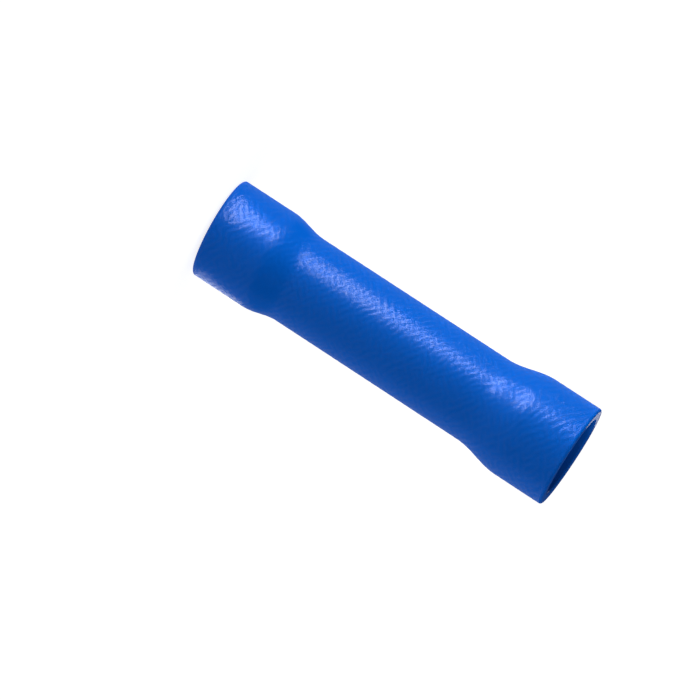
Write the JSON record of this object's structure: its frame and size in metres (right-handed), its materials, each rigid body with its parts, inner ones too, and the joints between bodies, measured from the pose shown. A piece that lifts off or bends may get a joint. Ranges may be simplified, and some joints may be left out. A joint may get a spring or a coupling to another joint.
{
  "type": "butt splice connector",
  "caption": "Insulated butt splice connector: a soft sleeve with flared mouths round a tinned crimp barrel, which joins wires end to end.",
  "frame": {"origin": "centre of the lower rim, which the connector stands on", "axes": "+Z along the axis of sleeve and barrel, from the lower, narrower mouth to the upper, wider one"},
  "size_m": [0.0066, 0.0066, 0.025],
  "materials": {
    "blue_vinyl": "satin blue PVC with a fine leathery grain",
    "tinned_copper": "bright tin plating on copper tube"
  },
  "bodies": {
    "root": {"insulating_sleeve": "blue_vinyl", "crimp_barrel": "tinned_copper"}
  },
  "joints": []
}
